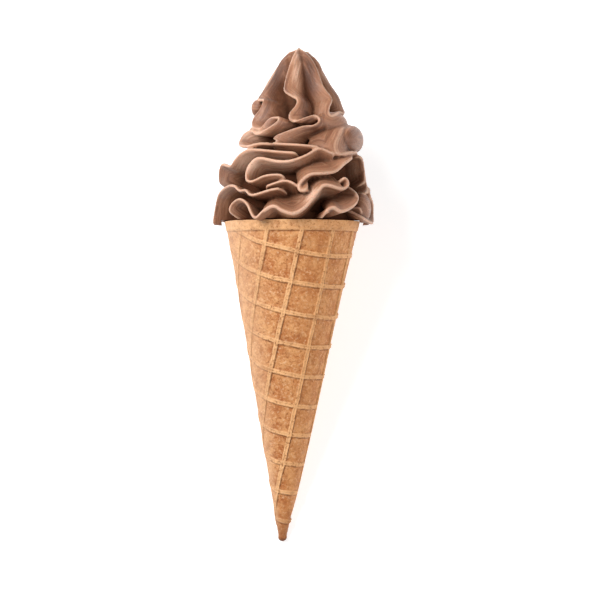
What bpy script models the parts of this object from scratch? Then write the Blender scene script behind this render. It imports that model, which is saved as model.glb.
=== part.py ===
"""A chocolate soft serve piped into a rolled waffle cone, lying on its side as it rests on a table.

Both pieces are made upright, in millimetres: the middle of the cone's rim is the zero point, +Z points up to
the peak of the swirl and -Y is the shown side. At the end they are laid on their back, so that the shown
side looks up (+Z) and the peak points along +Y, and the drawing is turned into metres.
"""

import math

import bmesh
import bpy
import numpy as np
from mathutils import Matrix, Vector

MILLIMETRE = 0.001

# The rolled cone
RIM_RADIUS = 27.5
CONE_LENGTH = 130.2
APEX_BELOW_TIP = 9.0
TIP_SHIFT = -4.1
WALL = 2.6
BAND_HEIGHT = 4.2
BAND_EDGE = 0.3
TIP_ROUNDING = 1.6
TIP_FLAT = 0.25
TIP_PLAIN = 3.0
SHEET = 1.1
SEAM_ANGLE = 205.0
SEAM_TWIST = 50.0
SEAM_SOFTNESS = 4.0
SEAM_FADE = 85.0
SEAM_START = 30.0

# The baked grid, on the flat wafer before it is rolled
RIDGE_HEIGHT = 0.6
RIDGE_TOP = 0.7
RIDGE_FOOT = 1.3
PITCH_DOWN = 12.2
PITCH_ROUND = 13.8
FIRST_DOWN = 17.7
FIRST_ROUND = -9.0
GRID_TURN = 11.25
GRID_STRETCH = 1.3

# The swirl
SWIRL_HEIGHT = 71.1
SWIRL_RADIUS = 33.0
SWIRL_LEAN = 2.6
LEAN_HEIGHT = 30.0
BELLY = 1.35
SHOULDER = 0.68
CORE_SHARE = 0.7
CORE_NARROWING = 0.1
CORE_NARROW_HEIGHT = 35.0
PEAK_HEIGHT = 72.0
PEAK_SPREAD = 0.3
PEAK_SWEEP = 1.6
BACK_REACH = 0.94
FIN_THICKNESS = 1.4
FIN_ROOT_THICKNESS = 3.6
ROOT_BLUR = 6.0
FIN_STEP = 1.3
FIN_ROWS = 9
TAPER_LENGTH = 5.0
THICKEST_SHARE = 0.14

# The soft serve that fills the cone
CLEARANCE = 0.45
HOLLOW_END = 12.0
PLUG_FOOT_GAP = 1.2
PLUG_TOP = 3.0
RIM_CLEARANCE_DEPTH = 12.0

# Lobes that bulge out between the fins: degrees round, height, reach of the middle, and half sizes along the
# swirl, outwards and upwards
LOBES = {
    "ear": (70, 32.8, 0.94, 9.5, 3.4, 5.6),
    "neck_back": (46, 39.0, 0.84, 8.0, 4.0, 4.5),
    "left_bud": (-76, 45.8, 0.88, 3.2, 3.0, 3.6),
    "hem_bud": (73, 5.0, 0.9, 5.5, 3.3, 6.0),
}

# Fineness of the two solids
VOXEL = 0.55
SWIRL_TRIANGLES = 6600
CONE_TRIANGLES = 4400
CONE_SIDES = 150
CONE_LEVELS = 190
INSIDE_LEVELS = 16
SMOOTH_SIDES = 72

# How the whole thing lies: it touches the table at the swirl's hem and at the cone's tip
HEM_CONTACT = (31.3, 2.3)
TIP_CONTACT = (7.2, -106.7)
FLAT_DEPTH = 0.7
BLOCK_SIZE = 400.0

CHOCOLATE_COLOUR = (0.22, 0.105, 0.065, 1.0)
WAFER_COLOUR = (0.56, 0.27, 0.10, 1.0)

# Each fin of the piped rope ends in a ruffled lip. A lip is given by the points where it turns: degrees
# round the swirl from the middle of the shown side, height above the rim, and reach if it isn't 1. The four
# numbers after the lip say how far the fin's root lies round from it, how far below it, how near the axis,
# and how long its face stays out before it dips in. A thick fold has two such roots, one for each face.
FINS = {
    "hem_front": (
        [(-49, -0.5), (-51, 2.5), (-50, 6), (-43, 8), (-35, 6), (-27, 0.5), (-21, 3), (-14, 5), (-7, 3),
         (1, 2), (9, 5), (18, 11.5), (23, 13.5), (37, 12), (44, 14), (41, 16.5), (33, 14.5)],
        (3, 4.0, 0.6, 1.0),
    ),
    "hem_rise": (
        [(-25, 1.2), (-21, 2.8), (-14, 4.8), (-7, 2.8), (1, 1.8), (9, 4.8), (18, 11.2), (24, 13.2), (37, 11.8),
         (43, 13.5)],
        (-2, -5.0, 0.68, 1.4),
    ),
    "hem_right": (
        [(51, 12.5), (54, 9), (48, 5.5), (36, 3), (29, 4.5), (24, 3), (24, -1)],
        (-4, 3.0, 0.6, 1.0),
        (6, -4.0, 0.72, 1.3),
    ),
    "hem_far_right": (
        [(52, 3), (60, 0.5), (78, -1), (88, 2, 0.99), (88, 6.5, 1.0), (76, 10), (88, 13, 0.98),
         (104, 7, 0.96), (122, 3, 0.95), (134, 8, 0.94)],
        (2, -3.0, 0.68, 1.0),
    ),
    "drape_left": (
        [(-124, 8, 0.94), (-112, 1, 0.96), (-98, 3, 0.96), (-90, -1, 0.97), (-86, 4.5, 0.98),
         (-79, 10.5), (-63, 13.5), (-53, 13.5), (-45, 11.5), (-39, 11.5), (-32, 9.5), (-17, 11.5),
         (-5, 12.5, 0.97)],
        (4, 3.5, 0.6, 1.0),
    ),
    "tuck": (
        [(-30, 11.5, 0.93), (-20, 13.5, 0.95), (-8, 15, 0.98), (0, 13.5), (6, 11, 0.95)],
        (2, 3.0, 0.65, 1.0),
    ),
    "second": (
        [(-3, 15.5, 0.97), (-10, 17), (-16, 17.5), (-25, 17), (-35, 15), (-41, 16), (-43, 19.5),
         (-41, 22.5), (-34, 24.5), (-17, 23), (-6, 23), (6, 25), (18, 28), (28, 26.5), (39, 24.5)],
        (2, 6.0, 0.6, 1.0),
    ),
    "third_left": (
        [(-104, 13), (-94, 18.5, 1.08), (-86, 23, 1.1), (-73, 22), (-66, 24.5), (-56, 27.3), (-43, 28),
         (-16, 26.7), (6, 26, 0.96)],
        (4, 5.0, 0.6, 1.0),
    ),
    "shelf": (
        [(60, 26.5), (43, 22.5), (32, 19), (21, 18), (11, 17.5), (4, 14.5), (3, 11.5), (7, 11),
         (15, 13)],
        (2, 1.0, 0.5, 1.0),
        (-4, -4.0, 0.74, 1.3),
    ),
    "side_right": (
        [(62, 26, 0.95), (74, 25.5, 0.98), (86, 22.5, 0.96), (86, 17, 0.95), (78, 12, 0.96),
         (64, 10, 0.95)],
        (10, 0.0, 0.6, 1.0),
    ),
    "ear_right": (
        [(74, 39, 1.02), (50, 36.5), (38, 32), (34, 28.5), (37, 26), (47, 26.5), (66, 28)],
        (24, 0.0, 0.75, 1.8),
        (-28, 1.5, 0.76, 1.4),
    ),
    "spine": (
        [(-40, 70.4, 0.3), (-26, 68.5, 0.8), (-22, 62.5), (-22, 55), (-20, 51.5), (-10, 49.5), (-2, 48),
         (-3, 45.5), (-10, 42), (-7, 39), (7, 40.5), (17, 41.5), (22, 39.5), (15, 37.5), (4, 37),
         (-11, 35), (-22, 33), (-24, 30.5), (-20, 29)],
        (34, 2.5, 0.5, 1.5),
    ),
    "under_lip": (
        [(-32, 30.8, 0.88), (-21, 30), (-7, 29.6), (10, 29), (26, 28.2, 0.97)],
        (0, 3.0, 0.7, 1.0),
    ),
    "peak_left": (
        [(-90, 70.4, 0.3), (-86, 68.5, 0.8), (-80, 66, 0.95), (-76, 59, 0.86), (-76, 52, 0.94),
         (-69, 49), (-53, 48.5), (-51, 45), (-58, 41), (-54, 37.5), (-42, 36.5), (-32, 40.5),
         (-21, 40.5), (-24, 38.5), (-34, 36), (-46, 34.5), (-56, 36), (-68, 35), (-78, 32.4, 0.98),
         (-70, 30.4), (-55, 29.6), (-40, 30.4), (-28, 31, 0.95)],
        (34, 2.5, 0.5, 1.2),
    ),
    "peak_right": (
        [(60, 70.4, 0.3), (50, 68.5, 0.8), (44, 65), (42, 60), (40, 54), (48, 49), (38, 45), (36, 41.5),
         (57, 43.5), (72, 41)],
        (-26, 2.5, 0.5, 1.0),
    ),
    "peak_far_right": (
        [(100, 70.4, 0.3), (88, 68.5, 0.8), (80, 65.5, 0.98), (80, 59, 0.86), (84, 51, 0.94),
         (86, 46, 0.92), (98, 42, 0.94)],
        (-24, 2.0, 0.55, 1.6),
    ),
}
PLAIN_BACK = ("side_right", "hem_far_right", "under_lip")


def clear_scene():
    for obj in list(bpy.data.objects):
        bpy.data.objects.remove(obj)


def smoothstep(value):
    t = np.clip(value, 0.0, 1.0)
    return t * t * (3.0 - 2.0 * t)


def swirl_radius(z):
    """The swirl's outline: broad at the hem, drawn in to a point."""
    t = np.clip(np.asarray(z, float) / SWIRL_HEIGHT, 0.0, 1.0)
    return SWIRL_RADIUS * np.power(np.maximum(1.0 - np.power(t, BELLY), 0.0), SHOULDER)


def swirl_middle(z):
    """The swirl leans a little to the right of the cone."""
    return SWIRL_LEAN * np.clip(np.asarray(z, float) / LEAN_HEIGHT, 0.0, 1.0)


def on_swirl(turn, z, reach):
    """Points at these turns (radians from the shown side), heights and shares of the outline's radius."""
    radius = swirl_radius(z) * reach
    x = swirl_middle(z) + radius * np.sin(turn)
    return np.stack([x, -radius * np.cos(turn), z], axis=-1)


def through(points, count):
    """A smooth curve of count points through the given ones."""
    p = np.asarray(points, float)
    p = np.vstack([2 * p[0] - p[1], p, 2 * p[-1] - p[-2]])
    t = np.linspace(0.0, len(p) - 3 - 1e-9, count)
    i = t.astype(int)
    f = (t - i)[:, None]
    a, b, c, d = p[i], p[i + 1], p[i + 2], p[i + 3]
    return 0.5 * (2 * b + (c - a) * f + (2 * a - 5 * b + 4 * c - d) * f**2 + (3 * b - a - 3 * c + d) * f**3)


def evenly(points, lengths, step):
    """The curve's points moved to even steps of its length."""
    count = max(8, int(lengths[-1] / step))
    at = np.linspace(0.0, lengths[-1], count)
    return np.stack([np.interp(at, lengths, points[:, k]) for k in range(points.shape[1])], axis=1)


def run_length(points):
    steps = np.linalg.norm(np.diff(points, axis=0), axis=1)
    return np.concatenate([[0.0], np.cumsum(steps)])


def blurred(values, width):
    """The values with their ruffles averaged out over a width given in samples."""
    reach = int(3 * width) + 1
    weights = np.exp(-0.5 * (np.arange(-reach, reach + 1) / width) ** 2)
    weights /= weights.sum()
    padded = np.concatenate([np.full(reach, values[0]), values, np.full(reach, values[-1])])
    return np.convolve(padded, weights, mode="valid")


def fin_sections(lip, root, turned):
    """The middle sheet of one fin from its lip to its root, with its normals and half its thickness."""
    turn_offset, drop, depth, bow = root
    turning = [(math.radians(p[0] + turned), p[1], p[2] if len(p) > 2 else 1.0) for p in lip]
    curve = through(turning, 40 * len(turning))
    curve = evenly(curve, run_length(on_swirl(*curve.T)), FIN_STEP)
    turn, height, reach = curve.T
    root_turn = blurred(turn, ROOT_BLUR / FIN_STEP) + math.radians(turn_offset)
    root_height = blurred(height, ROOT_BLUR / FIN_STEP) - drop
    run = np.arange(len(turn)) * FIN_STEP
    tapers = np.minimum(TAPER_LENGTH, 0.5 + swirl_radius(height[[0, -1]]) * reach[[0, -1]])
    ends = np.minimum(run / tapers[0], run[::-1] / tapers[1])
    start = (1.0 - smoothstep(ends + 0.12)) * 0.75
    share = np.linspace(0.0, 1.0, FIN_ROWS)[:, None]
    inward = start + (1.0 - start) * share
    middle = on_swirl(
        turn + (root_turn - turn) * inward,
        height + (root_height - height) * inward,
        reach + (depth - reach) * inward**bow,
    )
    normal = np.cross(np.gradient(middle, axis=0), np.gradient(middle, axis=1))
    normal /= np.maximum(np.linalg.norm(normal, axis=2, keepdims=True), 1e-9)
    half = 0.5 * (FIN_THICKNESS + (FIN_ROOT_THICKNESS - FIN_THICKNESS) * share[:, :, None] ** 1.6)
    half = np.minimum(half, THICKEST_SHARE * np.maximum(swirl_radius(middle[:, :, 2:3]), 4.0))
    return middle, normal, half


def add_rings(mesh, rings, joined=False):
    """Adds a closed solid through rings of equally many points, either capped or joined end to end."""
    made = [[mesh.verts.new(Vector(point)) for point in ring] for ring in rings]
    following = made[1:] + made[:1] if joined else made[1:]
    for first, second in zip(made, following):
        for i in range(len(first)):
            n = (i + 1) % len(first)
            mesh.faces.new((first[i], first[n], second[n], second[i]))
    if not joined:
        mesh.faces.new(made[0][::-1])
        mesh.faces.new(made[-1])


def add_fin(mesh, lip, root, turned):
    """Adds one fin as a closed lofted solid with a rounded lip."""
    middle, normal, half = fin_sections(lip, root, turned)
    outward = middle[0] - middle[1]
    outward /= np.maximum(np.linalg.norm(outward, axis=1, keepdims=True), 1e-9)
    nose = middle[0] + outward * half[0] * 0.8
    upper = middle + normal * half
    lower = middle - normal * half
    loop = np.concatenate([upper[::-1], nose[None], lower], axis=0)
    add_rings(mesh, loop.transpose(1, 0, 2))


def turned_rings(profile):
    """Rings of a turned solid from (shift of the middle, radius, height) levels."""
    a = 2.0 * math.pi * np.arange(SMOOTH_SIDES) / SMOOTH_SIDES
    rings = []
    for shift, radius, height in profile:
        x = shift + radius * np.cos(a)
        rings.append(np.stack([x, radius * np.sin(a), np.full(SMOOTH_SIDES, height)], axis=1))
    return rings


def object_from(mesh, name):
    data = bpy.data.meshes.new(name)
    bmesh.ops.recalc_face_normals(mesh, faces=mesh.faces)
    mesh.to_mesh(data)
    mesh.free()
    obj = bpy.data.objects.new(name, data)
    bpy.context.scene.collection.objects.link(obj)
    return obj


def apply_modifiers(obj):
    graph = bpy.context.evaluated_depsgraph_get()
    made = bpy.data.meshes.new_from_object(obj.evaluated_get(graph))
    obj.modifiers.clear()
    obj.data = made


def keep_largest_island(obj):
    """Drops loose scraps, and the walls of any pocket that the fins close off, which fills it."""
    mesh = bmesh.new()
    mesh.from_mesh(obj.data)
    mesh.verts.ensure_lookup_table()
    seen = set()
    islands = []
    for vert in mesh.verts:
        if vert in seen:
            continue
        island = [vert]
        seen.add(vert)
        for v in island:
            for edge in v.link_edges:
                other = edge.other_vert(v)
                if other not in seen:
                    seen.add(other)
                    island.append(other)
        islands.append(island)
    islands.sort(key=len)
    loose = [v for island in islands[:-1] for v in island]
    bmesh.ops.delete(mesh, geom=loose, context="VERTS")
    mesh.to_mesh(obj.data)
    mesh.free()


def reduce_to(obj, triangles):
    count = sum(len(p.vertices) - 2 for p in obj.data.polygons)
    reduce = obj.modifiers.new("fewer_faces", "DECIMATE")
    reduce.ratio = min(1.0, triangles / count)
    reduce.use_collapse_triangulate = True
    apply_modifiers(obj)


def boolean(obj, other, operation):
    cut = obj.modifiers.new(operation.lower(), "BOOLEAN")
    cut.operation = operation
    cut.object = other
    cut.solver = "EXACT"
    apply_modifiers(obj)
    bpy.data.objects.remove(other)


def cone_axis(z):
    """The rolled cone is a little skew: its tip lies left of the middle of the rim."""
    return TIP_SHIFT * np.asarray(z, float) / -CONE_LENGTH


def cone_radius(z):
    """The outside of the cone over its ridges, at a height below the rim."""
    return RIM_RADIUS * (1.0 + np.asarray(z, float) / (CONE_LENGTH + APEX_BELOW_TIP))


def cone_slope():
    return math.atan(RIM_RADIUS / (CONE_LENGTH + APEX_BELOW_TIP))


def ridge(distance):
    return 1.0 - smoothstep((np.abs(distance) - RIDGE_TOP) / (RIDGE_FOOT - RIDGE_TOP))


def nearest_line(value, first, pitch):
    return (value - first + 0.5 * pitch) % pitch - 0.5 * pitch


def wafer_relief(turn, z):
    """Height of the baked pattern, 0 in a cell and 1 on a ridge, at a turn and height of the rolled cone."""
    slope = cone_slope()
    from_apex = (CONE_LENGTH + APEX_BELOW_TIP + z) / math.cos(slope)
    stretched = from_apex + GRID_STRETCH * np.sin(-math.pi * z / CONE_LENGTH)
    angle = turn * math.sin(slope) - math.radians(GRID_TURN)
    down = ridge(nearest_line(stretched * np.cos(angle), FIRST_DOWN, PITCH_DOWN))
    around = ridge(nearest_line(from_apex * np.sin(angle), FIRST_ROUND, PITCH_ROUND))
    band = smoothstep((z + BAND_HEIGHT + BAND_EDGE) / (2.0 * BAND_EDGE))
    return np.maximum(np.maximum(down, around), band)


def roll_offset(turn, z):
    """The outer end of the rolled sheet stands out in a step at the seam, and dies away round from it."""
    seam = math.radians(SEAM_ANGLE) + math.radians(SEAM_TWIST) * z / CONE_LENGTH
    past = np.degrees((turn - seam) % (2.0 * math.pi))
    return SHEET * smoothstep(past / SEAM_SOFTNESS) * (1.0 - smoothstep(past / SEAM_FADE))


def make_cone():
    """The rolled wafer: ridged outside, plain inside, closed at the tip."""
    turn = np.arange(CONE_SIDES) * 2.0 * math.pi / CONE_SIDES
    profile = []
    for z in np.linspace(-CONE_LENGTH, 0.0, CONE_LEVELS):
        from_tip = z + CONE_LENGTH
        rounding = math.sqrt(max(0.0, 1.0 - max(0.0, 1.0 - from_tip / TIP_ROUNDING) ** 2))
        relief = wafer_relief((turn + math.pi) % (2.0 * math.pi) - math.pi, z)
        radius = cone_radius(z) - RIDGE_HEIGHT * (1.0 - relief) * smoothstep(from_tip / TIP_PLAIN)
        radius = radius + roll_offset(turn, z) * smoothstep(from_tip / SEAM_START)
        profile.append((radius * max(rounding, TIP_FLAT), z))
    for z in np.linspace(0.0, HOLLOW_END - CONE_LENGTH, INSIDE_LEVELS):
        profile.append((np.full(CONE_SIDES, inside_radius(z)), z))
    rings = []
    for radius, z in profile:
        x = cone_axis(z) + radius * np.sin(turn)
        rings.append(np.stack([x, -radius * np.cos(turn), np.full(CONE_SIDES, z)], axis=1))
    mesh = bmesh.new()
    add_rings(mesh, rings)
    cone = object_from(mesh, "waffle_cone")
    reduce_to(cone, CONE_TRIANGLES)
    return cone


def inside_radius(z):
    return float(cone_radius(z)) - WALL


def make_plug():
    """The soft serve inside the cone, clear of the wafer."""
    end = HOLLOW_END + PLUG_FOOT_GAP - CONE_LENGTH
    levels = [(float(cone_axis(z)), inside_radius(z) - CLEARANCE, z) for z in (end, 0.0)]
    levels.append((0.0, levels[-1][1], PLUG_TOP))
    mesh = bmesh.new()
    add_rings(mesh, turned_rings(levels))
    return object_from(mesh, "plug")


def make_rim_clearance():
    """The space of the wafer's upper edge and a little more all round it, which the swirl leaves free."""
    low, high = -RIM_CLEARANCE_DEPTH, CLEARANCE
    sides = []
    for z, outward in ((high, True), (low, True), (low, False), (high, False)):
        radius = float(cone_radius(z)) + SHEET + CLEARANCE if outward else inside_radius(z) - CLEARANCE
        sides.append((float(cone_axis(z)), radius, z))
    mesh = bmesh.new()
    add_rings(mesh, turned_rings(sides), joined=True)
    return object_from(mesh, "rim_clearance")


def make_below_table(depth):
    """A block whose upper face is the table, this deep into the swirl's lowest lips."""
    mesh = bmesh.new()
    bmesh.ops.create_cube(mesh, size=BLOCK_SIZE)
    block = object_from(mesh, "below_table")
    block.data.transform(Matrix.Translation((0.0, BLOCK_SIZE / 2.0 - depth, 0.0)))
    block.data.transform(Matrix.Rotation(-table_slope(), 4, "X"))
    block.data.transform(Matrix.Translation((0.0, HEM_CONTACT[0], HEM_CONTACT[1])))
    return block


def add_lobe(mesh, turn, z, reach, sizes):
    place = Matrix.Translation(Vector(on_swirl(math.radians(turn), z, reach)))
    place = place @ Matrix.Rotation(math.radians(turn), 4, "Z") @ Matrix.Diagonal((*sizes, 1.0))
    bmesh.ops.create_uvsphere(mesh, u_segments=24, v_segments=14, radius=1.0, matrix=place)


def add_core(mesh):
    """The solid middle of the swirl, which the fins stand out from, up to the tip of its peak."""
    levels = []
    for z in np.linspace(-1.0, PEAK_HEIGHT - 0.4, 40):
        share = CORE_SHARE - CORE_NARROWING * float(smoothstep((z - CORE_NARROW_HEIGHT) / 10.0))
        radius = min(float(swirl_radius(z)) * share, PEAK_SPREAD * (PEAK_HEIGHT - z) ** PEAK_SWEEP)
        levels.append((float(swirl_middle(z)), max(radius, 0.05), float(z)))
    add_rings(mesh, turned_rings(levels))


def make_swirl():
    mesh = bmesh.new()
    for name, (lip, *roots) in FINS.items():
        back_lip = [(turn, z, BACK_REACH) for turn, z, *reach in lip]
        for root in roots:
            add_fin(mesh, lip, root, 0.0)
            if name not in PLAIN_BACK:
                add_fin(mesh, back_lip, root, 180.0)
    for turn, z, reach, *sizes in LOBES.values():
        add_lobe(mesh, turn, z, reach, sizes)
    add_core(mesh)
    swirl = object_from(mesh, "soft_serve")
    fuse = swirl.modifiers.new("fuse", "REMESH")
    fuse.mode = "VOXEL"
    fuse.voxel_size = VOXEL
    relax = swirl.modifiers.new("relax", "SMOOTH")
    relax.factor = 0.5
    relax.iterations = 2
    apply_modifiers(swirl)
    keep_largest_island(swirl)
    reduce_to(swirl, SWIRL_TRIANGLES)
    boolean(swirl, make_rim_clearance(), "DIFFERENCE")
    boolean(swirl, make_plug(), "UNION")
    boolean(swirl, make_below_table(FLAT_DEPTH), "DIFFERENCE")
    keep_largest_island(swirl)
    return swirl


def table_slope():
    return math.atan2(HEM_CONTACT[0] - TIP_CONTACT[0], HEM_CONTACT[1] - TIP_CONTACT[1])


def lay_down(objects):
    """Lays the pieces on their back, stands them on the table and centres them over the zero point."""
    turn = Matrix.Rotation(table_slope() - math.pi / 2.0, 4, "X")
    for obj in objects:
        obj.data.transform(turn)
    corners = [v.co for obj in objects for v in obj.data.vertices]
    low = [min(c[i] for c in corners) for i in range(3)]
    high = [max(c[i] for c in corners) for i in range(3)]
    middle = Vector(((low[0] + high[0]) / 2.0, (low[1] + high[1]) / 2.0, low[2]))
    for obj in objects:
        obj.data.transform(Matrix.Scale(MILLIMETRE, 4) @ Matrix.Translation(-middle))


def give_material(obj, name, colour, roughness):
    material = bpy.data.materials.new(name)
    material.use_nodes = True
    shader = material.node_tree.nodes["Principled BSDF"]
    shader.inputs["Base Color"].default_value = colour
    shader.inputs["Roughness"].default_value = roughness
    obj.data.materials.append(material)


def main():
    clear_scene()
    cone = make_cone()
    boolean(cone, make_below_table(FLAT_DEPTH), "DIFFERENCE")
    swirl = make_swirl()
    lay_down([cone, swirl])
    give_material(cone, "baked_wafer", WAFER_COLOUR, 0.7)
    give_material(swirl, "chocolate_soft_serve", CHOCOLATE_COLOUR, 0.45)


main()
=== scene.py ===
import math

import bpy
import numpy as np
from mathutils import Matrix, Vector, kdtree, noise


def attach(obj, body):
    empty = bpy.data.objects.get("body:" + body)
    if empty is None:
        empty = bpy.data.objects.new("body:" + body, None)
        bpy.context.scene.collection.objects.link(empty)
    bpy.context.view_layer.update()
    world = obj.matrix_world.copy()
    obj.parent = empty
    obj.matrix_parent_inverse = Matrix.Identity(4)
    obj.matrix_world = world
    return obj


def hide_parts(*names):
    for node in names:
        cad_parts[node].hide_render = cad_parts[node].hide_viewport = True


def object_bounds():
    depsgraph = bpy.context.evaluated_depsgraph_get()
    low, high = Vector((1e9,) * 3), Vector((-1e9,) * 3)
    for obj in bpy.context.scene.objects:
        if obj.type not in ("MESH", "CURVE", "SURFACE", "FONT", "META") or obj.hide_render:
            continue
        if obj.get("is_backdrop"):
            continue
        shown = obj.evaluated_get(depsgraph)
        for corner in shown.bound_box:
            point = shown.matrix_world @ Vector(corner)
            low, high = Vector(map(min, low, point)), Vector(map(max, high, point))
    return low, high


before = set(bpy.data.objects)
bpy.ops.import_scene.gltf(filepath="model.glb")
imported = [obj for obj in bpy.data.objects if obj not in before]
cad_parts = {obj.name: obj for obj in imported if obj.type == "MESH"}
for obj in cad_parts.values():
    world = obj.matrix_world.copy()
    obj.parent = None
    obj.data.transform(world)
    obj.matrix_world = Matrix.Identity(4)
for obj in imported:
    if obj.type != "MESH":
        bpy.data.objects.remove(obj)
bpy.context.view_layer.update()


# The wafer cone: a thin sweet batter baked in a flat iron with a square grid, rolled hot round a mandrel
# with a plain band left at the mouth, and closed at the tip. Upright, the middle of its mouth is the zero
# point, in millimetres, +Z points up the axis and -Y is the shown side.

# The whole cone: its radius at the mouth, its length, how far its sides would run on to a point, how far the
# tip stands to the left, and the wafer's thickness
MOUTH_RADIUS = 27.5
CONE_LENGTH = 130.2
APEX_BELOW_TIP = 9.0
TIP_SHIFT = -4.1
WAFER_WALL = 2.6

# The plain band at the mouth, its soft lower edge, and how pale it is beside the ridges, held down as
# painted shadow from the ice cream over it
BAND_HEIGHT = 4.2
BAND_EDGE = 0.3
BAND_TONE_IN_SHADOW = 0.55

# A ridge: its height, its half width at the top and at the foot, the shallow trough along it, and the
# painted shadow line at its foot, which is weaker on the lit side. Towards the left all of it is fainter.
RIDGE_HEIGHT = 0.6
RIDGE_TOP = 0.65
RIDGE_FOOT = 1.05
TROUGH = 0.35
FOOT_LINE = 0.24
LIT_FOOT = 0.35
FAINT_SIDE = 0.55

# The grid: its first ridge and its pitch down the cone and round it, its turn and stretch, and how it strays
GRID_DOWN = (17.7, 12.2)
GRID_ROUND = (-9.0, 13.8)
GRID_TURN = math.radians(11.25)
GRID_STRETCH = 1.3
GRID_WANDER = 0.3
GRID_JITTER = 0.16

# The grain of the baked surface, and how far a cell sags
GRAIN = 0.035
GRAIN_IN_CELLS = 0.03
CELL_SAG = 0.12

# The tip's plain and rounded lengths, its blunt end, how high the hollow ends, and the rim's crown
TIP_PLAIN = 3.0
TIP_ROUNDING = 1.6
TIP_FLAT = 0.25
HOLLOW_END = 12.0
RIM_CROWN = 0.08
RIM_UNEVEN = 0.1

# The outer end of the rolled sheet: a step that winds down the hidden side and dies away round the cone
SEAM_STEP = 1.1
SEAM_ANGLE = math.radians(205.0)
SEAM_TWIST = math.radians(50.0)
SEAM_SOFT = 4.0
SEAM_FADE = 85.0
SEAM_START = 30.0

# How the cone lies on the table, as the solids do: the rise of its axis, and where its mouth's middle is
RISE = math.radians(12.46757)
MOUTH_AT = (-0.2906, 28.9033, 29.3654)


def smoothstep(value):
    t = np.clip(value, 0.0, 1.0)
    return t * t * (3.0 - 2.0 * t)


def rising(value, start, end):
    """0 up to the start and 1 from the end on, with a soft run between."""
    return smoothstep((value - start) / (end - start))


def lying_down(points):
    """Upright millimetres to metres on the table. What would sink into the table is pressed flat."""
    x, y, z = np.asarray(points, float).T
    along = y * math.sin(RISE) + z * math.cos(RISE)
    up = -y * math.cos(RISE) + z * math.sin(RISE)
    laid = np.stack([x + MOUTH_AT[0], along + MOUTH_AT[1], np.maximum(up + MOUTH_AT[2], 0.0)], axis=1)
    return laid * 0.001


def new_mesh_object(name, points, faces):
    data = bpy.data.meshes.new(name)
    data.from_pydata(points.tolist(), [], faces)
    data.validate()
    piece = bpy.data.objects.new(name, data)
    bpy.context.scene.collection.objects.link(piece)
    return piece


def store(piece, name, values):
    """Keeps one number for each vertex, which the piece's material reads."""
    layer = piece.data.attributes.new(name, "FLOAT", "POINT")
    layer.data.foreach_set("value", np.asarray(values, np.float32))


def cone_axis(z):
    return TIP_SHIFT * -z / CONE_LENGTH


def cone_radius(z):
    return MOUTH_RADIUS * (1.0 + z / (CONE_LENGTH + APEX_BELOW_TIP))


def uneven(x, y, z, size, seed):
    """A slow, even unevenness between about -1 and 1, with waves of this size in millimetres."""
    flat = np.stack([np.ravel(x), np.ravel(y), np.ravel(z)], axis=1) / size + seed
    return np.array([noise.noise(p) for p in flat]).reshape(np.shape(x))


def wafer_pattern(turn, z, wobble):
    """The pressed pattern, 0 in the cells and 1 on the ridges and the band, and the painted shadow at their
    feet.
    """
    slope = math.atan(MOUTH_RADIUS / (CONE_LENGTH + APEX_BELOW_TIP))
    from_apex = (CONE_LENGTH + APEX_BELOW_TIP + z) / math.cos(slope)
    stretched = from_apex + GRID_STRETCH * np.sin(math.pi * np.clip(-z / CONE_LENGTH, 0.0, 1.0))
    angle = turn * math.sin(slope) - GRID_TURN
    height = foot = 0.0
    for value, (first, pitch), shaded in (
        (stretched * np.cos(angle), GRID_DOWN, -1.0),
        (from_apex * np.sin(angle), GRID_ROUND, 1.0),
    ):
        side = (value + wobble - first + 0.5 * pitch) % pitch - 0.5 * pitch
        away = np.abs(side)
        ridge = 1.0 - smoothstep((away - RIDGE_TOP) / (RIDGE_FOOT - RIDGE_TOP))
        height = np.maximum(height, ridge - TROUGH * (1.0 - smoothstep(away / RIDGE_TOP)))
        # Painted shadow: a dark line along the foot of each ridge, weaker on its lit side
        line = np.exp(-(((away - RIDGE_FOOT) / FOOT_LINE) ** 2))
        foot = np.maximum(foot, line * np.where(side * shaded > 0.0, 1.0, LIT_FOOT))
    # and a painted shadow line under the band's lower edge
    foot = np.maximum(foot, np.exp(-(((z + BAND_HEIGHT + BAND_EDGE) / FOOT_LINE) ** 2)))
    faint = 1.0 - FAINT_SIDE * rising(-np.sin(turn), 0.45, 0.8)
    height, foot = height * faint, foot * faint
    band = smoothstep((z + BAND_HEIGHT + BAND_EDGE) / (2.0 * BAND_EDGE))
    return np.maximum(height, band), foot * (1.0 - np.maximum(band, smoothstep((height - 0.5) / 0.5)))


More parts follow.
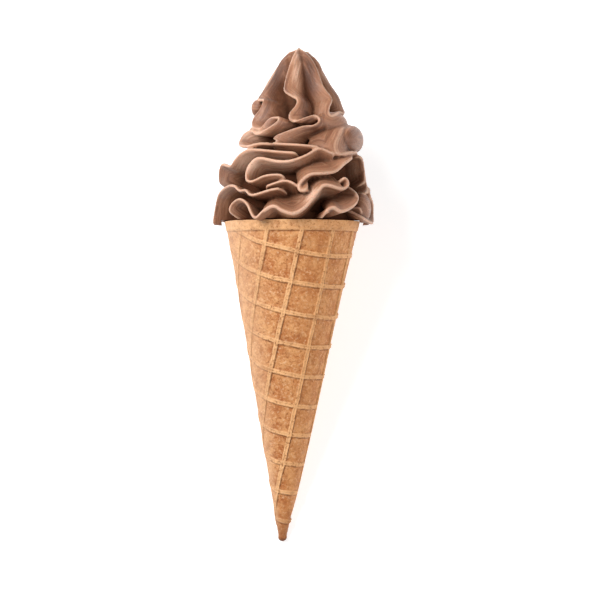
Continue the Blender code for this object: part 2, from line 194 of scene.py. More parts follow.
def make_wafer_cone(around=480, up=440, inside=14):
    turn = np.linspace(0.0, 2.0 * math.pi, around, endpoint=False)
    share = np.linspace(0.0, 1.0, up)
    turn, z = np.meshgrid((turn + math.pi) % (2.0 * math.pi) - math.pi, CONE_LENGTH * (share - 1.0))
    base = cone_radius(z)
    x, y = base * np.sin(turn), -base * np.cos(turn)
    wander = uneven(x, y, z, size=9.0, seed=3.0)
    jitter = uneven(x, y, z, size=2.2, seed=17.0)
    wobble = GRID_WANDER * wander + GRID_JITTER * jitter
    pattern, foot = wafer_pattern(turn, z, wobble)
    from_tip = z + CONE_LENGTH
    seam = (turn - SEAM_ANGLE - SEAM_TWIST * z / CONE_LENGTH) % (2.0 * math.pi)
    past = np.degrees(seam)
    fading = (1.0 - smoothstep(past / SEAM_FADE)) * smoothstep(from_tip / SEAM_START)
    step = smoothstep(past / SEAM_SOFT) * fading
    grain = uneven(x, y, z, size=1.1, seed=11.0) + 0.6 * uneven(x, y, z, size=0.55, seed=5.0)
    cell = 1.0 - pattern
    radius = base - RIDGE_HEIGHT * cell * smoothstep(from_tip / TIP_PLAIN) + SEAM_STEP * step
    radius += (GRAIN + GRAIN_IN_CELLS * cell) * grain
    radius += CELL_SAG * uneven(x, y, z, size=16.0, seed=21.0) * cell
    rounding = np.sqrt(np.maximum(0.0, 1.0 - np.maximum(0.0, 1.0 - from_tip / TIP_ROUNDING) ** 2))
    radius *= np.maximum(rounding, TIP_FLAT)
    heights = z.copy()
    heights[-1] += RIM_UNEVEN * (uneven(x[-1], y[-1], z[-1], size=5.0, seed=31.0) - 1.0)
    rings = [np.stack([cone_axis(z) + radius * np.sin(turn), -radius * np.cos(turn), heights], axis=2)]
    middle = base[-1] - 0.5 * WAFER_WALL
    crown = [middle * np.sin(turn[0]), -middle * np.cos(turn[0]), heights[-1] + RIM_CROWN]
    rings.append(np.stack(crown, axis=1)[None])
    for level in np.linspace(0.0, HOLLOW_END - CONE_LENGTH, inside):
        r = cone_radius(level) - WAFER_WALL
        ring = [cone_axis(level) + r * np.sin(turn[0]), -r * np.cos(turn[0]), np.full(around, level)]
        rings.append(np.stack(ring, axis=1)[None])
    grid = np.concatenate(rings, axis=0)
    levels = grid.shape[0]
    index = np.arange(levels * around).reshape(levels, around)
    nxt = np.roll(index, -1, axis=1)
    quads = np.stack([index[:-1], nxt[:-1], nxt[1:], index[1:]], axis=2).reshape(-1, 4).tolist()
    faces = quads + [index[0][::-1].tolist(), index[-1].tolist()]
    piece = new_mesh_object("wafer_cone", lying_down(grid.reshape(-1, 3)), faces)
    extra = (inside + 1) * around
    store(piece, "foot", np.concatenate([foot.ravel(), np.zeros(extra)]))
    # The share of ridge colour, lower on the band as painted shadow from the ice cream over it
    ridge = pattern * (1.0 - (1.0 - BAND_TONE_IN_SHADOW) * smoothstep((z + BAND_HEIGHT) / (2.0 * BAND_EDGE)))
    store(piece, "ridge", np.concatenate([ridge.ravel(), np.full(extra, BAND_TONE_IN_SHADOW)]))
    store(piece, "from_tip", np.concatenate([from_tip.ravel(), np.full(extra, 100.0)]))
    # Painted light paling the left side, where the key lamp falls, and painted shade darkening the right
    # side
    left, right = -np.sin(turn).ravel(), np.sin(turn).ravel()
    store(piece, "lit_side", np.concatenate([rising(left, 0.3, 0.9), np.zeros(extra)]))
    store(piece, "shaded_side", np.concatenate([rising(right, -0.2, 0.6), np.zeros(extra)]))
    piece.data.shade_smooth()
    return piece


def rgba(value):
    """A colour, or one number as a grey."""
    return (*value, 1.0) if isinstance(value, tuple) else (value, value, value, 1.0)


class Recipe:
    """A material's nodes, with short words for adding and joining them."""

    def __init__(self, name):
        self.material = bpy.data.materials.new(name)
        self.material.use_nodes = True
        self.tree = self.material.node_tree
        self.shader = self.tree.nodes["Principled BSDF"]
        self.place = self.add("TexCoord").outputs["Object"]

    def add(self, kind, **settings):
        node = self.tree.nodes.new("ShaderNode" + kind)
        for key, value in settings.items():
            setattr(node, key, value)
        return node

    def join(self, source, socket):
        self.tree.links.new(source, socket)

    def stored(self, name):
        """The number that store() kept under this name."""
        return self.add("Attribute", attribute_name=name).outputs["Fac"]

    def speckle(self, per_metre, detail=3.0, rough=0.6, at=None):
        """Uneven specks, about so many to the metre."""
        node = self.add("TexNoise")
        self.join(at or self.place, node.inputs["Vector"])
        node.inputs["Scale"].default_value = per_metre
        node.inputs["Detail"].default_value = detail
        node.inputs["Roughness"].default_value = rough
        return node.outputs["Fac"]

    def ramp(self, source, *stops):
        """Colours or plain numbers that run from stop to stop."""
        node = self.add("ValToRGB")
        points = node.color_ramp.elements
        for point, (at, value) in zip(points, stops):
            point.position = at
            point.color = rgba(value)
        for at, value in stops[2:]:
            points.new(at).color = rgba(value)
        self.join(source, node.inputs["Fac"])
        return node.outputs["Color"]

    def scaled(self, source, factor):
        node = self.add("Math", operation="MULTIPLY")
        self.join(source, node.inputs[0])
        node.inputs[1].default_value = factor
        return node.outputs["Value"]

    def mix(self, share, first, second):
        """The first colour where the share is 0 and the second where it is 1."""
        node = self.add("MixRGB")
        sockets = [node.inputs[name] for name in ("Fac", "Color1", "Color2")]
        for value, socket in zip((share, first, second), sockets):
            if isinstance(value, bpy.types.NodeSocket):
                self.join(value, socket)
            elif isinstance(value, tuple):
                socket.default_value = (*value, 1.0)
            else:
                socket.default_value = value
        return node.outputs["Color"]

    def relief(self, *layers):
        """Fine relief from (heights, strength, depth in metres) layers."""
        normal = None
        for source, strength, depth in layers:
            node = self.add("Bump")
            node.inputs["Strength"].default_value = strength
            node.inputs["Distance"].default_value = depth
            self.join(source, node.inputs["Height"])
            if normal is not None:
                self.join(normal, node.inputs["Normal"])
            normal = node.outputs["Normal"]
        self.join(normal, self.shader.inputs["Normal"])


WAFER_CELL = (0.44, 0.145, 0.036)
WAFER_PALE = (0.66, 0.315, 0.12)
WAFER_RIDGE_AND_HIGHLIGHT = (0.82, 0.46, 0.21)
WAFER_TOASTED = (0.25, 0.07, 0.015)
WAFER_SCORCHED_AND_SHADOW = (0.17, 0.05, 0.01)
WAFER_PALE_AND_LIT = (0.75, 0.46, 0.26)
WAFER_SHADED_SIDE = (0.64, 0.25, 0.06)


def make_wafer_material():
    wafer = Recipe("baked_wafer")
    patches = wafer.ramp(wafer.speckle(210.0, 4.0, 0.65), (0.36, WAFER_CELL), (0.64, WAFER_PALE))
    # The ridges are paler, partly in their own colour and partly as a painted highlight on their tops
    colour = wafer.mix(wafer.stored("ridge"), patches, WAFER_RIDGE_AND_HIGHLIGHT)
    crumb = wafer.speckle(950.0, 6.0, 0.75)
    colour = wafer.mix(wafer.ramp(crumb, (0.36, 0.95), (0.47, 0.0)), colour, WAFER_TOASTED)
    colour = wafer.mix(wafer.ramp(crumb, (0.54, 0.0), (0.64, 0.9)), colour, WAFER_PALE_AND_LIT)
    # Painted light on the left side and painted shade on the right
    colour = wafer.mix(wafer.scaled(wafer.stored("lit_side"), 0.42), colour, WAFER_PALE_AND_LIT)
    colour = wafer.mix(wafer.scaled(wafer.stored("shaded_side"), 0.3), colour, WAFER_SHADED_SIDE)
    # Painted shadow along the feet of the ridges and under the band, broken up in places; the same dark
    # brown also scorches the tip
    broken = wafer.ramp(wafer.speckle(330.0, 3.0), (0.34, 0.1), (0.58, 1.0))
    foot = wafer.add("Math", operation="MULTIPLY")
    wafer.join(wafer.stored("foot"), foot.inputs[0])
    wafer.join(broken, foot.inputs[1])
    colour = wafer.mix(foot.outputs["Value"], colour, WAFER_SCORCHED_AND_SHADOW)
    scorch = wafer.ramp(wafer.speckle(260.0, 4.0, 0.65), (0.5, 0.0), (0.75, 0.5))
    colour = wafer.mix(scorch, colour, WAFER_TOASTED)
    tip = wafer.add("MapRange")
    wafer.join(wafer.stored("from_tip"), tip.inputs["Value"])
    tip.inputs["From Min"].default_value = 0.6
    tip.inputs["From Max"].default_value = 15.0
    tip.inputs["To Min"].default_value = 0.85
    tip.inputs["To Max"].default_value = 0.0
    colour = wafer.mix(tip.outputs["Result"], colour, WAFER_TOASTED)
    burnt = wafer.ramp(wafer.scaled(wafer.stored("from_tip"), 0.1), (0.06, 0.9), (0.17, 0.0))
    colour = wafer.mix(burnt, colour, WAFER_SCORCHED_AND_SHADOW)
    wafer.join(colour, wafer.shader.inputs["Base Color"])
    wafer.shader.inputs["Roughness"].default_value = 0.6
    wafer.shader.inputs["Specular IOR Level"].default_value = 0.35
    wafer.relief((crumb, 0.9, 0.00035), (wafer.speckle(420.0, 3.0), 0.6, 0.0005))
    return wafer.material


wafer_cone = make_wafer_cone()
wafer_cone.data.materials.append(make_wafer_material())
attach(wafer_cone, "root")
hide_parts("waffle_cone")


# The soft serve: chocolate ice cream piped from a star nozzle in rising turns, so that its edge hangs in
# thin ruffled fins and ends in a ribbed point. It is one soft mass, and it also fills the cone.

# The whole swirl: its height and radius, the powers that round it off upwards, and its lean to the right
SWIRL_HEIGHT = 71.1
SWIRL_RADIUS = 33.0
BELLY = 1.35
SHOULDER = 0.68
SWIRL_LEAN = 2.6
LEAN_HEIGHT = 30.0

# Its solid middle: the share of the radius that it fills, where that thins, and the point it runs out to
CORE_SHARE = 0.7
CORE_THINNING = 0.1
THINNING_FROM = 35.0
THINNING_RUN = 10.0
PEAK_HEIGHT = 72.0
PEAK_SPREAD = 0.3
PEAK_SWEEP = 1.6
PEAK_BLUNT = 0.7

# A fin: its thickness at the lip and the root, how even its root is, and how its ends run out
FIN_THICKNESS = 1.3
FIN_ROOT_THICKNESS = 3.6
THICKENING = 1.6
THICKEST_SHARE = 0.14
LIP_NOSE = 0.8
ROOT_BLUR = 6.0
TAPER_LENGTH = 5.0
TAPER_START = 0.12
TAPER_SHARE = 0.75
BACK_REACH = 0.94

# The filling in the cone, and the room that is left round the wafer
GAP_TO_WAFER = 0.45
FILLING_FOOT = -117.0
FILLING_EASE = 0.2
MOUTH_DEPTH = 12.0

# How finely the fins are followed and fused
FINENESS = 0.44
RELAX_ROUNDS = 2
CURVE_STEPS = 40
LIP_POINTS_APART = 0.3

# Each fin ends in a ruffled lip, given by the points where it turns: degrees round from the middle of the
# shown side, height above the mouth, and reach if it isn't 1. The four numbers after the lip say how far the
# fin's root lies round from it, how far below it, how near the axis, and how long its face stays out before
# it dips. A thick fold has two such roots, one for each of its faces.
FINS = {
    "hem_front": (
        [(-49, -0.5), (-51, 2.5), (-50, 6), (-43, 8), (-35, 6), (-27, 0.5), (-21, 3), (-14, 5), (-7, 3),
         (1, 2), (9, 5), (18, 11.5), (23, 13.5), (37, 12), (44, 14), (41, 16.5), (33, 14.5)],
        (3, 4.0, 0.6, 1.0),
    ),
    "hem_rise": (
        [(-25, 1.2), (-21, 2.8), (-14, 4.8), (-7, 2.8), (1, 1.8), (9, 4.8), (18, 11.2), (24, 13.2),
         (37, 11.8), (43, 13.5)],
        (-2, -5.0, 0.68, 1.4),
    ),
    "hem_right": (
        [(51, 12.5), (54, 9), (48, 5.5), (36, 3), (29, 4.5), (24, 3), (24, -1)],
        (-4, 3.0, 0.6, 1.0),
        (6, -4.0, 0.72, 1.3),
    ),
    "hem_far_right": (
        [(52, 3), (60, 0.5), (78, -1), (88, 2, 0.99), (88, 6.5, 1.0), (76, 10), (88, 13, 0.98),
         (104, 7, 0.96), (122, 3, 0.95), (134, 8, 0.94)],
        (2, -3.0, 0.68, 1.0),
    ),
    "drape_left": (
        [(-124, 8, 0.94), (-112, 1, 0.96), (-98, 3, 0.96), (-90, -1, 0.97), (-86, 4.5, 0.98),
         (-79, 10.5), (-63, 13.5), (-53, 13.5), (-45, 11.5), (-39, 11.5), (-32, 9.5), (-17, 11.5),
         (-5, 12.5, 0.97)],
        (4, 3.5, 0.6, 1.0),
    ),
    "tuck": (
        [(-30, 11.5, 0.93), (-20, 13.5, 0.95), (-8, 15, 0.98), (0, 13.5), (6, 11, 0.95)],
        (2, 3.0, 0.65, 1.0),
    ),
    "second": (
        [(-3, 15.5, 0.97), (-10, 17), (-16, 17.5), (-25, 17), (-35, 15), (-41, 16), (-43, 19.5),
         (-41, 22.5), (-34, 24.5), (-17, 23), (-6, 23), (6, 25), (18, 28), (28, 26.5), (39, 24.5)],
        (2, 6.0, 0.6, 1.0),
    ),
    "third_left": (
        [(-104, 13), (-94, 18.5, 1.08), (-86, 23, 1.1), (-73, 22), (-66, 24.5), (-56, 27.3), (-43, 28),
         (-16, 26.7), (6, 26, 0.96)],
        (4, 5.0, 0.6, 1.0),
    ),
    "shelf": (
        [(60, 26.5), (43, 22.5), (32, 19), (21, 18), (11, 17.5), (4, 14.5), (3, 11.5), (7, 11),
         (15, 13)],
        (2, 1.0, 0.5, 1.0),
        (-4, -4.0, 0.74, 1.3),
    ),
    "side_right": (
        [(62, 26, 0.95), (74, 25.5, 0.98), (86, 22.5, 0.96), (86, 17, 0.95), (78, 12, 0.96),
         (64, 10, 0.95)],
        (10, 0.0, 0.6, 1.0),
    ),
    "ear_right": (
        [(74, 39, 1.02), (50, 36.5), (38, 32), (34, 28.5), (37, 26), (47, 26.5), (66, 28)],
        (24, 0.0, 0.75, 1.8),
        (-28, 1.5, 0.76, 1.4),
    ),
    "spine": (
        [(-40, 70.4, 0.3), (-26, 68.5, 0.8), (-22, 62.5), (-22, 55), (-20, 51.5), (-10, 49.5), (-2, 48),
         (-3, 45.5), (-10, 42), (-7, 39), (7, 40.5), (17, 41.5), (22, 39.5), (15, 37.5), (4, 37),
         (-11, 35), (-22, 33), (-24, 30.5), (-20, 29)],
        (34, 2.5, 0.5, 1.5),
    ),
    "under_lip": (
        [(-32, 30.8, 0.88), (-21, 30), (-7, 29.6), (10, 29), (26, 28.2, 0.97)],
        (0, 3.0, 0.7, 1.0),
    ),
    "peak_left": (
        [(-90, 70.4, 0.3), (-86, 68.5, 0.8), (-80, 66, 0.95), (-76, 59, 0.86), (-76, 52, 0.94),
         (-69, 49), (-53, 48.5), (-51, 45), (-58, 41), (-54, 37.5), (-42, 36.5), (-32, 40.5),
         (-21, 40.5), (-24, 38.5), (-34, 36), (-46, 34.5), (-56, 36), (-68, 35), (-78, 32.4, 0.98),
         (-70, 30.4), (-55, 29.6), (-40, 30.4), (-28, 31, 0.95)],
        (34, 2.5, 0.5, 1.2),
    ),
    "peak_right": (
        [(60, 70.4, 0.3), (50, 68.5, 0.8), (44, 65), (42, 60), (40, 54), (48, 49), (38, 45), (36, 41.5),
         (57, 43.5), (72, 41)],
        (-26, 2.5, 0.5, 1.0),
    ),
    "peak_far_right": (
        [(100, 70.4, 0.3), (88, 68.5, 0.8), (80, 65.5, 0.98), (80, 59, 0.86), (84, 51, 0.94),
         (86, 46, 0.92), (98, 42, 0.94)],
        (-24, 2.0, 0.55, 1.6),
    ),
}
PLAIN_BACK = ("side_right", "hem_far_right", "under_lip")

# Lobes that bulge out between the fins: degrees round, height and reach of the middle, and half sizes along
# the swirl, outwards and upwards
LOBES = {
    "ear": (70, 32.8, 0.94, 9.5, 3.4, 5.6),
    "neck_back": (46, 39.0, 0.84, 8.0, 4.0, 4.5),
    "left_bud": (-76, 45.8, 0.88, 3.2, 3.0, 3.6),
    "hem_bud": (73, 5.0, 0.9, 5.5, 3.3, 6.0),
}


# Patches of painted light (last number above 0) and painted shade on the shown side: the middle's x and
# height, half width, half height, and how strongly
LIGHT_AND_SHADE_PATCHES = {
    "spine": (1.3, 60.0, 2.4, 11.0, 0.9),
    "left_panel": (-6.5, 56.0, 4.2, 14.0, -0.9),
    "right_panel": (7.0, 56.0, 2.3, 12.0, -1.0),
    "groove": (5.2, 50.0, 1.4, 14.0, -0.6),
    "neck": (9.0, 36.0, 2.6, 3.0, -0.6),
    "right_cheek": (11.5, 48.0, 2.5, 5.0, 0.35),
    "second_fold": (-4.0, 22.5, 10.0, 3.5, 1.1),
    "third_fold": (-18.0, 23.0, 5.0, 4.5, 1.5),
    "hem_rise": (8.0, 9.5, 6.0, 3.5, 1.3),
    "left_fold": (-15.0, 33.5, 5.0, 2.5, 1.6),
    "right_hollow": (22.0, 20.5, 4.0, 4.0, 0.8),
    "ear": (24.5, 33.0, 5.0, 5.0, -0.4),
}


def swirl_radius(z):
    t = np.clip(z / SWIRL_HEIGHT, 0.0, 1.0)
    return SWIRL_RADIUS * np.maximum(1.0 - t**BELLY, 0.0) ** SHOULDER


def on_swirl(turn, z, reach):
    radius = swirl_radius(z) * reach
    middle = SWIRL_LEAN * np.clip(z / LEAN_HEIGHT, 0.0, 1.0)
    return np.stack([middle + radius * np.sin(turn), -radius * np.cos(turn), z], axis=-1)


def through(points, count):
    """A smooth curve of count points through the given ones."""
    p = np.asarray(points, float)
    p = np.vstack([2 * p[0] - p[1], p, 2 * p[-1] - p[-2]])
    t = np.linspace(0.0, len(p) - 3 - 1e-9, count)
    i = t.astype(int)
    f = (t - i)[:, None]
    a, b, c, d = p[i], p[i + 1], p[i + 2], p[i + 3]
    return 0.5 * (2 * b + (c - a) * f + (2 * a - 5 * b + 4 * c - d) * f**2 + (3 * b - a - 3 * c + d) * f**3)


def evenly(line, apart):
    """The same line in points this far apart."""
    run = np.concatenate([[0.0], np.cumsum(np.linalg.norm(np.diff(line, axis=0), axis=1))])
    at = np.arange(0.0, run[-1], apart)
    return np.stack([np.interp(at, run, column) for column in line.T], axis=1)


def without_ruffles(values, width):
    """The values averaged over a width given in steps."""
    reach = int(3 * width) + 1
    weights = np.exp(-0.5 * (np.arange(-reach, reach + 1) / width) ** 2)
    padded = np.concatenate([np.full(reach, values[0]), values, np.full(reach, values[-1])])
    return np.convolve(padded, weights / weights.sum(), mode="valid")


def fin_sheet(lip, root, turned, step=0.8, rows=14):
    """The middle sheet of one fin, from its lip (row 0) to its root, with its normals and half thickness."""
    turn_offset, drop, depth, bow = root
    turning = [(math.radians(p[0] + turned), p[1], p[2] if len(p) > 2 else 1.0) for p in lip]
    curve = through(turning, CURVE_STEPS * len(turning))
    steps = np.linalg.norm(np.diff(on_swirl(*curve.T), axis=0), axis=1)
    run = np.concatenate([[0.0], np.cumsum(steps)])
    at = np.linspace(0.0, run[-1], int(run[-1] / step))
    turn, z, reach = (np.interp(at, run, column) for column in curve.T)
    root_turn = without_ruffles(turn, ROOT_BLUR / step) + math.radians(turn_offset)
    root_z = without_ruffles(z, ROOT_BLUR / step) - drop
    tapers = np.minimum(TAPER_LENGTH, 0.5 + swirl_radius(z[[0, -1]]) * reach[[0, -1]])
    ends = np.minimum(at / tapers[0], (at[-1] - at) / tapers[1])
    start = (1.0 - smoothstep(ends + TAPER_START)) * TAPER_SHARE
    share = np.linspace(0.0, 1.0, rows)[:, None]
    w = start + (1.0 - start) * share
    middle = on_swirl(turn + (root_turn - turn) * w, z + (root_z - z) * w, reach + (depth - reach) * w**bow)
    normal = np.cross(np.gradient(middle, axis=0), np.gradient(middle, axis=1))
    normal /= np.maximum(np.linalg.norm(normal, axis=2, keepdims=True), 1e-9)
    thickening = share[:, :, None] ** THICKENING
    half = 0.5 * (FIN_THICKNESS + (FIN_ROOT_THICKNESS - FIN_THICKNESS) * thickening)
    half = np.minimum(half, THICKEST_SHARE * np.maximum(swirl_radius(middle[:, :, 2:3]), 4.0))
    return middle, normal, half


class Dough:
    """Points and faces of many closed bodies, kept together until they are fused."""

    def __init__(self):
        self.points = []
        self.faces = []
        self.count = 0

    def add_rings(self, rings):
        """A closed body through rings of equally many points, capped at both ends."""
        rings = np.asarray(rings, float)
        rows, size = rings.shape[:2]
        index = self.count + np.arange(rows * size).reshape(rows, size)
        nxt = np.roll(index, -1, axis=1)
        self.faces += np.stack([index[:-1], nxt[:-1], nxt[1:], index[1:]], axis=2).reshape(-1, 4).tolist()
        self.faces += [index[0][::-1].tolist(), index[-1].tolist()]
        self.points.append(rings.reshape(-1, 3))
        self.count += rows * size


def turned_rings(levels, segments=96):
    """Rings of a turned body from (x offset, radius, height) levels."""
    a = np.linspace(0.0, 2.0 * math.pi, segments, endpoint=False)
    return [np.stack([x + r * np.cos(a), r * np.sin(a), np.full(segments, z)], axis=1) for x, r, z in levels]


def fuse(piece, fineness, rounds):
    remesh = piece.modifiers.new("fuse", "REMESH")
    remesh.mode = "VOXEL"
    remesh.voxel_size = fineness
    relax = piece.modifiers.new("relax", "SMOOTH")
    relax.factor = 0.5
    relax.iterations = rounds
    settle(piece)


def settle(piece):
    """Turns what the piece's modifiers make into its own mesh."""
    shown = piece.evaluated_get(bpy.context.evaluated_depsgraph_get())
    made = bpy.data.meshes.new_from_object(shown)
    piece.modifiers.clear()
    piece.data = made


def drop_loose(piece):
    """Keeps the largest connected body: pockets closed off inside and scraps go."""
    data = piece.data
    ends = np.empty(len(data.edges) * 2, int)
    data.edges.foreach_get("vertices", ends)
    a, b = ends.reshape(-1, 2).T
    label = np.arange(len(data.vertices))
    while True:
        low = np.minimum(label[a], label[b])
        fresh = label.copy()
        np.minimum.at(fresh, a, low)
        np.minimum.at(fresh, b, low)
        fresh = fresh[fresh]
        if np.array_equal(fresh, label):
            break
        label = fresh
    names, sizes = np.unique(label, return_counts=True)
    keep = label == names[np.argmax(sizes)]
    points = np.empty(len(data.vertices) * 3)
    data.vertices.foreach_get("co", points)
    points = points.reshape(-1, 3)[keep]
    renumber = np.cumsum(keep) - 1
    faces = [[int(renumber[v]) for v in p.vertices] for p in data.polygons if keep[p.vertices[0]]]
    made = bpy.data.meshes.new(data.name)
    made.from_pydata(points.tolist(), [], faces)
    piece.data = made


def hollowness(piece, rounds):
    """How far each point lies behind (above 0) or in front of its averaged surroundings, in millimetres."""
    data = piece.data
    points = np.empty(len(data.vertices) * 3)
    data.vertices.foreach_get("co", points)
    points = points.reshape(-1, 3)
    normals = np.empty(points.size)
    data.vertices.foreach_get("normal", normals)
    ends = np.empty(len(data.edges) * 2, int)
    data.edges.foreach_get("vertices", ends)
    a, b = ends.reshape(-1, 2).T
    near = np.bincount(np.concatenate([a, b]), minlength=len(points))
    near = np.maximum(near, 1)[:, None]
    even = points
    for _ in range(rounds):
        total = []
        for k in range(3):
            total.append(np.bincount(a, even[b, k], len(points)) + np.bincount(b, even[a, k], len(points)))
        even = np.stack(total, axis=1) / near
    return ((even - points) * normals.reshape(-1, 3)).sum(axis=1)


def lobe_rings(turn, z, reach, along, out, up, rings=15, segments=32):
    """Rings of an egg that stands on the swirl, from its foot to its top."""
    a = np.linspace(0.0, 2.0 * math.pi, segments, endpoint=False)
    spin = [[math.cos(turn), math.sin(turn), 0.0], [-math.sin(turn), math.cos(turn), 0.0], [0.0, 0.0, 1.0]]
    egg = []
    for tilt in np.linspace(-0.5 * math.pi, 0.5 * math.pi, rings + 2)[1:-1]:
        wide = math.cos(tilt)
        ring = [along * wide * np.cos(a), out * wide * np.sin(a), np.full(segments, up * math.sin(tilt))]
        egg.append(np.stack(ring, axis=1) @ np.array(spin) + on_swirl(turn, z, reach))
    return egg


def core_levels(levels=60):
    """The solid middle of the swirl, which thins towards its point."""
    core = []
    for z in np.linspace(-1.0, PEAK_HEIGHT - PEAK_BLUNT, levels):
        share = CORE_SHARE - CORE_THINNING * float(smoothstep((z - THINNING_FROM) / THINNING_RUN))
        radius = min(float(swirl_radius(max(z, 0.0))) * share, PEAK_SPREAD * (PEAK_HEIGHT - z) ** PEAK_SWEEP)
        core.append((SWIRL_LEAN * min(max(z / LEAN_HEIGHT, 0.0), 1.0), radius, z))
    return core


def filling_levels():
    """The ice cream inside the cone, a little clear of the wafer."""
    filling = []
    for z in (FILLING_FOOT, FILLING_FOOT + 4.0, -70.0, -30.0, 0.0, 3.0):
        level = min(z, 0.0)
        filling.append((cone_axis(level), cone_radius(level) - WAFER_WALL - GAP_TO_WAFER - FILLING_EASE, z))
    return filling


def make_swirl():
    dough = Dough()
    lips = []
    for name, (lip, *roots) in FINS.items():
        turns = (0.0,) if name in PLAIN_BACK else (0.0, 180.0)
        for turned, root in [(turned, root) for turned in turns for root in roots]:
            edge = [(a, z, BACK_REACH) for a, z, *reach in lip] if turned else lip
            middle, normal, half = fin_sheet(edge, root, turned)
            outward = middle[0] - middle[1]
            outward /= np.maximum(np.linalg.norm(outward, axis=1, keepdims=True), 1e-9)
            nose = middle[0] + outward * half[0] * LIP_NOSE
            front, behind = middle + normal * half, middle - normal * half
            loop = np.concatenate([front[::-1], nose[None], behind], axis=0)
            dough.add_rings(loop.transpose(1, 0, 2))
            lips.append(evenly(nose, LIP_POINTS_APART))
    for turn, *place in LOBES.values():
        dough.add_rings(lobe_rings(math.radians(turn), *place))
    dough.add_rings(turned_rings(core_levels()))
    dough.add_rings(turned_rings(filling_levels()))
    piece = new_mesh_object("chocolate_swirl", np.concatenate(dough.points), dough.faces)
    fuse(piece, FINENESS, RELAX_ROUNDS)
    drop_loose(piece)
    return piece, np.concatenate(lips)


def make_mouth_room(segments=96):
    """A ring round the cone's wall at the mouth, a little wider than the wall, to cut out of the swirl."""
    corners = []
    top, foot = GAP_TO_WAFER, -MOUTH_DEPTH
    for z, outside in ((top, True), (foot, True), (foot, False), (top, False)):
        radius = cone_radius(z) + (SEAM_STEP if outside else -WAFER_WALL)
        corners.append((cone_axis(z), radius + (GAP_TO_WAFER if outside else -GAP_TO_WAFER), z))
    rings = np.concatenate(turned_rings(corners, segments))
    index = np.arange(4 * segments).reshape(4, segments)
    after, beside = np.roll(index, -1, axis=0), np.roll(index, -1, axis=1)
    quads = np.stack([after, np.roll(after, -1, axis=1), beside, index], axis=2).reshape(-1, 4)
    return new_mesh_object("mouth_room", rings, quads.tolist())


# How far a lip's painted highlight reaches from its line, and the hollow and the depth at which the painted
# shade is darkest
LIP_EDGE = (0.3, 0.9)
LIP_CREST = 0.14
HOLLOW_ROUNDS = 14
HOLLOW_FULL = 0.45
DEEP_AT = 9.0

swirl, lip_points = make_swirl()
mouth_room = make_mouth_room()
cut = swirl.modifiers.new("mouth_room", "BOOLEAN")
cut.operation = "DIFFERENCE"
cut.object = mouth_room
cut.solver = "EXACT"
settle(swirl)
bpy.data.objects.remove(mouth_room)
drop_loose(swirl)

count = len(swirl.data.vertices)
points = np.empty(count * 3)
swirl.data.vertices.foreach_get("co", points)
points = points.reshape(-1, 3)
tree = kdtree.KDTree(len(lip_points))
for i, p in enumerate(lip_points):
    tree.insert(p, i)
tree.balance()
lip_distance = np.array([tree.find(p)[2] for p in points])
lean = SWIRL_LEAN * np.clip(points[:, 2] / LEAN_HEIGHT, 0.0, 1.0)
depth = swirl_radius(points[:, 2]) - np.hypot(points[:, 0] - lean, points[:, 1])
hollow = hollowness(swirl, HOLLOW_ROUNDS)
swirl.data.vertices.foreach_set("co", lying_down(points).ravel())
# Masks for painted shade in the hollows and deep in among the fins
store(swirl, "hollow", np.clip(hollow / HOLLOW_FULL, 0.0, 1.0))
# A painted highlight along the lips' crests
store(swirl, "lip", (1.0 - rising(lip_distance, *LIP_EDGE)) * smoothstep(-hollow / LIP_CREST))
store(swirl, "away", lip_distance)
store(swirl, "depth", np.clip(depth / DEEP_AT, 0.0, 1.0))
# Painted light and shade in patches on the shown side
light_and_shade = np.zeros(count)
for x, z, wide, high, amount in LIGHT_AND_SHADE_PATCHES.values():
    bump = np.exp(-(((points[:, 0] - x) / wide) ** 2) - ((points[:, 2] - z) / high) ** 2)
    light_and_shade += amount * bump * (points[:, 1] < 0.0)
store(swirl, "light_and_shade", light_and_shade)
swirl.data.update()
swirl.data.shade_smooth()

CHOCOLATE = (0.25, 0.108, 0.06)
CHOCOLATE_PALE = (0.44, 0.212, 0.122)
CHOCOLATE_DARK_AND_SHADED = (0.11, 0.043, 0.023)
CHOCOLATE_PALE_AND_LIT = (0.76, 0.47, 0.33)
CHOCOLATE_PAINTED_SHADE = (0.055, 0.02, 0.0105)
CHOCOLATE_LIP_HIGHLIGHT = (0.68, 0.41, 0.28)
STREAKS_PER_MM = 1.1


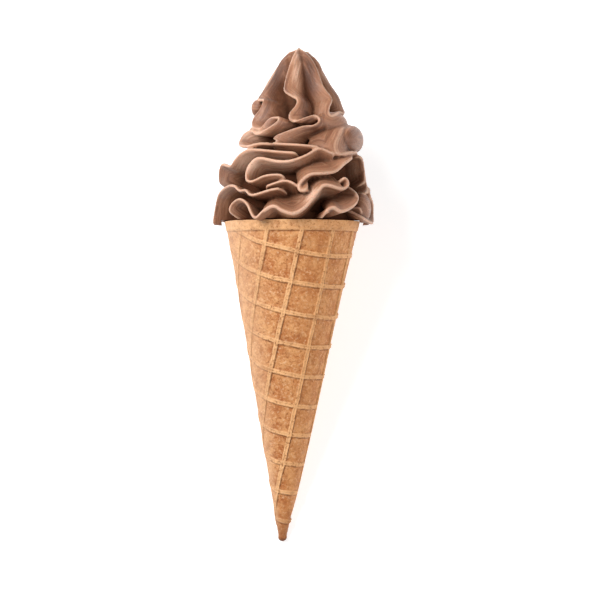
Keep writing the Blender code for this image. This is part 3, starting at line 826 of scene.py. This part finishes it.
def make_chocolate_material():
    chocolate = Recipe("chocolate_soft_serve")
    across = chocolate.add("CombineXYZ")
    chocolate.join(chocolate.scaled(chocolate.stored("away"), STREAKS_PER_MM), across.inputs["X"])
    along = chocolate.add("VectorMath", operation="MULTIPLY_ADD")
    chocolate.join(chocolate.place, along.inputs[0])
    along.inputs[1].default_value = (110.0, 110.0, 110.0)
    chocolate.join(across.outputs["Vector"], along.inputs[2])
    streaks = chocolate.speckle(1.0, 4.0, 0.65, along.outputs["Vector"])
    light_and_shade = chocolate.stored("light_and_shade")
    grade = chocolate.add("Math", operation="MULTIPLY_ADD")
    chocolate.join(light_and_shade, grade.inputs[0])
    grade.inputs[1].default_value = 0.35
    evened = chocolate.add("MapRange")
    chocolate.join(streaks, evened.inputs["Value"])
    evened.inputs["To Min"].default_value = 0.08
    evened.inputs["To Max"].default_value = 0.92
    chocolate.join(evened.outputs["Result"], grade.inputs[2])
    # Dark and pale streaks, pushed paler or darker by the painted light and shade
    shades = ((0.12, CHOCOLATE_DARK_AND_SHADED), (0.4, CHOCOLATE), (0.62, CHOCOLATE_PALE), (0.95, CHOCOLATE_PALE_AND_LIT))
    colour = chocolate.ramp(grade.outputs["Value"], *shades)
    # Painted shade deep in among the fins and in the hollows
    colour = chocolate.mix(chocolate.stored("depth"), colour, CHOCOLATE_PAINTED_SHADE)
    colour = chocolate.mix(chocolate.scaled(chocolate.stored("hollow"), 0.8), colour, CHOCOLATE_PAINTED_SHADE)
    # A painted highlight along the lips
    colour = chocolate.mix(chocolate.scaled(chocolate.stored("lip"), 0.85), colour, CHOCOLATE_LIP_HIGHLIGHT)
    # Small pits, each darkened with painted shade
    pits = chocolate.speckle(1500.0, 5.0, 0.75)
    colour = chocolate.mix(chocolate.ramp(pits, (0.3, 0.6), (0.44, 0.0)), colour, CHOCOLATE_PAINTED_SHADE)
    chocolate.join(colour, chocolate.shader.inputs["Base Color"])
    moist = chocolate.ramp(chocolate.speckle(160.0, 3.0), (0.35, 0.28), (0.65, 0.44))
    chocolate.join(moist, chocolate.shader.inputs["Roughness"])
    shine = chocolate.ramp(chocolate.stored("depth"), (0.05, 0.4), (0.5, 0.0))
    chocolate.join(shine, chocolate.shader.inputs["Specular IOR Level"])
    chocolate.shader.inputs["Subsurface Weight"].default_value = 0.1
    chocolate.shader.inputs["Subsurface Scale"].default_value = 0.0008
    chocolate.relief((pits, 0.7, 0.0002), (streaks, 0.6, 0.0006))
    return chocolate.material


swirl.data.materials.append(make_chocolate_material())
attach(swirl, "root")
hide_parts("soft_serve")


# The table: a plain pale top, wide enough to fill the view, which the cone lies on.

TABLE_HALF = 3.0

corners = [(-TABLE_HALF, -TABLE_HALF, 0.0), (TABLE_HALF, -TABLE_HALF, 0.0),
           (TABLE_HALF, TABLE_HALF, 0.0), (-TABLE_HALF, TABLE_HALF, 0.0)]
table = new_mesh_object("table", np.array(corners), [[0, 1, 2, 3]])
paper = Recipe("pale_table")
paper.shader.inputs["Base Color"].default_value = (0.86, 0.86, 0.86, 1.0)
paper.shader.inputs["Roughness"].default_value = 0.9
paper.shader.inputs["Emission Color"].default_value = (1.0, 1.0, 1.0, 1.0)
paper.shader.inputs["Emission Strength"].default_value = 0.48
table.data.materials.append(paper.material)
table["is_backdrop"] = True


# The camera looks down on the lying cone, square to its axis, as the photograph looks at the upright one.

PIXEL = 2.0 * MOUTH_RADIUS / 135.0
VIEW_MIDDLE = (3.06, 0.0, -32.0)
CAMERA_DISTANCE = 900.0
PICTURE_WIDTH = 600.0
SENSOR_WIDTH = 36.0


def on_table(x, y, z):
    """One upright point, in millimetres, as a place in metres. It may lie anywhere."""
    along = y * math.sin(RISE) + z * math.cos(RISE)
    up = -y * math.cos(RISE) + z * math.sin(RISE)
    return Vector((x + MOUTH_AT[0], along + MOUTH_AT[1], up + MOUTH_AT[2])) * 0.001


def aim(thing, at):
    """Turns a camera or a lamp towards a point, with the cone's axis upwards."""
    back = (thing.location - at).normalized()
    side = Vector((0.0, math.cos(RISE), math.sin(RISE))).cross(back).normalized()
    thing.rotation_euler = Matrix((side, back.cross(side), back)).transposed().to_euler()


camera = bpy.data.objects.new("camera", bpy.data.cameras.new("camera"))
bpy.context.scene.collection.objects.link(camera)
camera.location = on_table(VIEW_MIDDLE[0], -CAMERA_DISTANCE, VIEW_MIDDLE[2])
aim(camera, on_table(*VIEW_MIDDLE))
camera.data.sensor_width = SENSOR_WIDTH
camera.data.lens = SENSOR_WIDTH * CAMERA_DISTANCE / (PICTURE_WIDTH * PIXEL)
camera.data.clip_start = 0.05
bpy.context.scene.camera = camera


# Soft studio light: a large lamp over the upper left, a weaker one on the right, and a pale room all round.

LAMPS = {
    "key_lamp": ((-520.0, -600.0, 400.0), 0.45, 9.6),
    "fill_lamp": ((560.0, -640.0, -120.0), 0.7, 4.2),
}
for name, (place, width, power) in LAMPS.items():
    lamp = bpy.data.objects.new(name, bpy.data.lights.new(name, "AREA"))
    lamp.data.size = width
    lamp.data.energy = power
    bpy.context.scene.collection.objects.link(lamp)
    lamp.location = on_table(*place)
    aim(lamp, on_table(*VIEW_MIDDLE))
room_light = bpy.data.worlds.new("pale_room")
room_light.use_nodes = True
room_light.node_tree.nodes["Background"].inputs["Color"].default_value = (1.0, 1.0, 1.0, 1.0)
room_light.node_tree.nodes["Background"].inputs["Strength"].default_value = 0.22
bpy.context.scene.world = room_light
bpy.context.scene.view_settings.view_transform = "Standard"

low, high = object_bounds()
